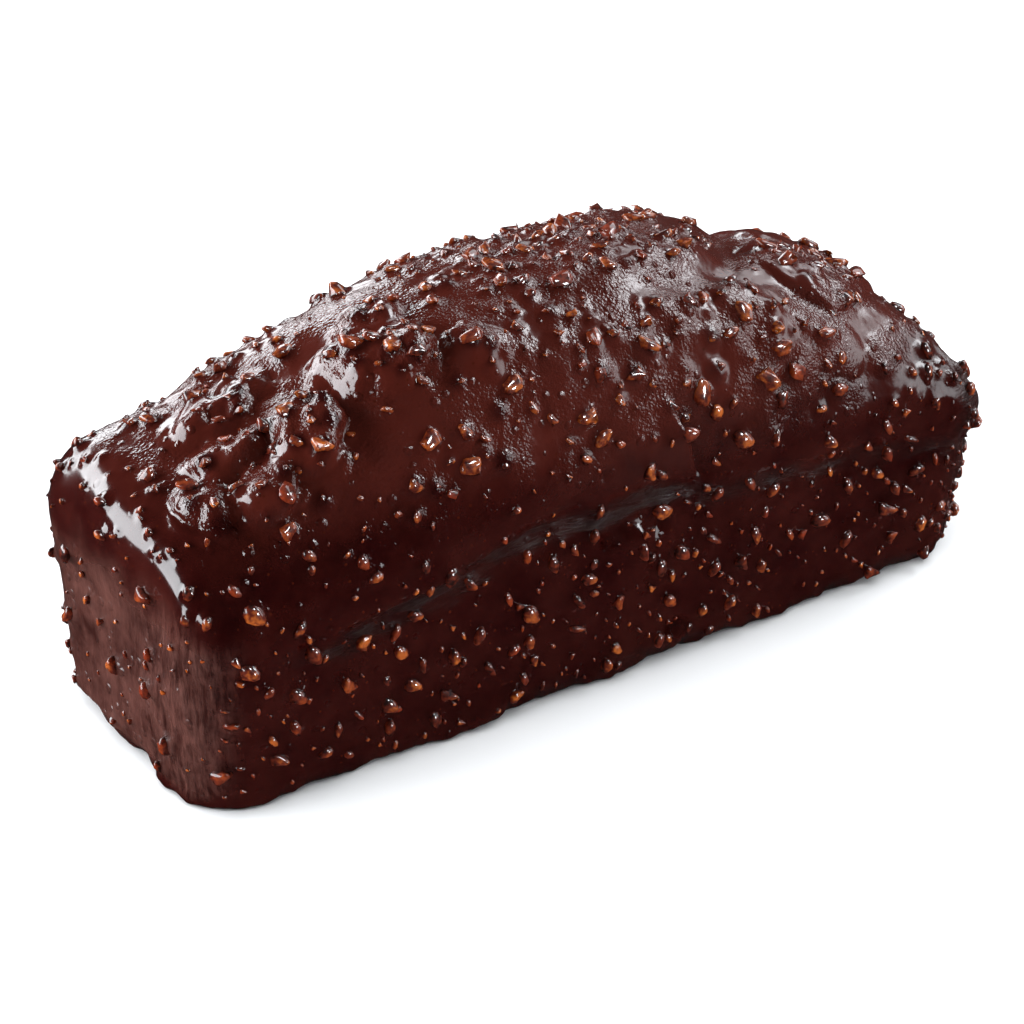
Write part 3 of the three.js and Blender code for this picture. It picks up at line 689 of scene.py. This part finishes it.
# Roasted nut under a wet skin of glaze: orange-brown in patches where it is bare, else dark
# red-brown. Its coat gives each nut a small sharp glint.
PATCH, GRAIN_RISE = 1.1, 0.25  # in mm
roast = bpy.data.materials.new("roasted_nut_under_glaze")
roast.use_nodes = True
t = roast.node_tree
shader = t.nodes["Principled BSDF"]
coords = add(t, "ShaderNodeTexCoord").outputs["Object"]
bare_share = add(t, "ShaderNodeAttribute", {"attribute_name": "bare"}).outputs["Fac"]
tint_share = add(t, "ShaderNodeAttribute", {"attribute_name": "tint"}).outputs["Fac"]
patches = add(t, "ShaderNodeTexNoise", Vector=coords,
              Scale=1 / (PATCH * MM), Detail=3, Roughness=0.55)
flesh = add(t, "ShaderNodeMix", {"data_type": "RGBA"},
            _0=tint_share, _6=linear("#8c2c0d"), _7=linear("#cc6a24"))
patchy = add(t, "ShaderNodeMath", {"operation": "MULTIPLY_ADD"},
             _0=patches.outputs["Fac"], _1=2.2, _2=-1.1)
share = add(t, "ShaderNodeMath", {"operation": "ADD"}, _0=bare_share, _1=patchy.outputs[0])
film_share = add(t, "ShaderNodeMapRange", Value=share.outputs[0], _1=-0.1, _2=0.4)
film = add(t, "ShaderNodeMix", {"data_type": "RGBA"},
           _0=film_share.outputs[0], _6=linear("#260704"), _7=linear("#6a220e"))
open_share = add(t, "ShaderNodeMapRange", Value=share.outputs[0], _1=0.4, _2=1)
skin_color = add(t, "ShaderNodeMix", {"data_type": "RGBA"},
                 _0=open_share.outputs[0], _6=film.outputs[2], _7=flesh.outputs[2])
t.links.new(skin_color.outputs[2], shader.inputs["Base Color"])
shader.inputs["Roughness"].default_value = 0.5
shader.inputs["Specular IOR Level"].default_value = 0.1
shader.inputs["Coat IOR"].default_value = CHOCOLATE_IOR
shader.inputs["IOR"].default_value = CHOCOLATE_IOR
shader.inputs["Coat Weight"].default_value = 1
shader.inputs["Coat Roughness"].default_value = 0.07
grain = add(t, "ShaderNodeBump", Height=patches.outputs["Fac"],
            Strength=0.6, Distance=GRAIN_RISE * MM)
t.links.new(grain.outputs[0], shader.inputs["Normal"])
nuts.data.materials.append(roast)
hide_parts("marble_loaf_cake")
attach(nuts, "root")


# ---------------------------------------------------------------- floor, light and camera
# A pale tabletop and soft area lights: a wide one from behind on the left, smaller ones from behind,
# overhead and the right, and a fill from the front that doesn't show in the gloss. Two more only
# glint in the nuts' wet skin, and one only whitens the floor, which the gloss doesn't mirror.
bpy.ops.mesh.primitive_plane_add(size=6, location=(0, 0, 0))
floor = bpy.context.object
floor.name = "floor"
paper = bpy.data.materials.new("pale_matt_floor")
paper.use_nodes = True
paper.node_tree.nodes["Principled BSDF"].inputs["Base Color"].default_value = linear("#f2f1f0")
paper.node_tree.nodes["Principled BSDF"].inputs["Roughness"].default_value = 0.9
floor.data.materials.append(paper)
floor.visible_glossy = False

LIGHT_COLOR = (0.93, 0.965, 1)
aim = Vector((0, 0, 0.045))  # the middle of the loaf
# where it comes from, distance, size, watts, whether the gloss shows it, the one piece it reaches
for name, way, distance, size, power, shows, only in (
        ("key", (-0.74, 0.6, 0.31), 1.2, (1.5, 0.46), 25, True, None),
        ("back", (0.08, 0.97, 0.24), 1.2, (0.8, 0.35), 7, True, None),
        ("overhead", (0.76, 0.2, 0.58), 1.2, (1.2, 0.5), 6.5, True, None),
        ("spark", (0.75, -0.05, 0.65), 1.2, (0.5, 0.35), 7, True, None),
        ("glint", (0.88, -0.4, 0.3), 1.1, (0.6, 0.5), 3.5, True, None),
        ("fill", (-0.3, -0.85, 0.7), 1.8, (1.6, 1.2), 9, False, None),
        ("nut_tops", (0.1, -0.25, 0.96), 1.2, (0.3, 0.3), 14, True, nuts),
        ("nut_fronts", (0.3, -0.85, 0.42), 1.2, (0.3, 0.3), 20, True, nuts),
        ("floor_wash", (-0.4, -0.3, 1), 1.8, (1.6, 1.6), 32, False, floor)):
    place = aim + Vector(way).normalized() * distance
    bpy.ops.object.light_add(type="AREA", location=place)
    lamp = bpy.context.object
    lamp.name = name
    lamp.data.shape = "RECTANGLE"
    lamp.data.size, lamp.data.size_y = size
    lamp.data.energy = power
    lamp.data.color = LIGHT_COLOR
    lamp.visible_glossy = shows
    lamp.visible_diffuse = only is not nuts
    if only:
        lit = bpy.data.collections.new(name)
        lit.objects.link(only)
        lamp.light_linking.receiver_collection = lit
    lamp.rotation_euler = (aim - place).to_track_quat("-Z", "Y").to_euler()

world = bpy.data.worlds.new("room")
bpy.context.scene.world = world
world.use_nodes = True
world.node_tree.nodes["Background"].inputs["Color"].default_value = (1, 1, 1, 1)
world.node_tree.nodes["Background"].inputs["Strength"].default_value = 0.02

CAMERA_PLACE = Vector((-0.4046, -0.5873, 0.4353))
CAMERA_AIM = Vector((0.4892, 0.7171, -0.4964))
LENS, SENSOR = 125.7, 36  # in mm
bpy.ops.object.camera_add(
    location=CAMERA_PLACE, rotation=CAMERA_AIM.to_track_quat("-Z", "Y").to_euler())
camera = bpy.context.object
camera.data.lens = LENS
camera.data.sensor_width = SENSOR
camera.data.clip_end = 20
bpy.context.scene.camera = camera
bpy.context.scene.view_settings.view_transform = "Standard"
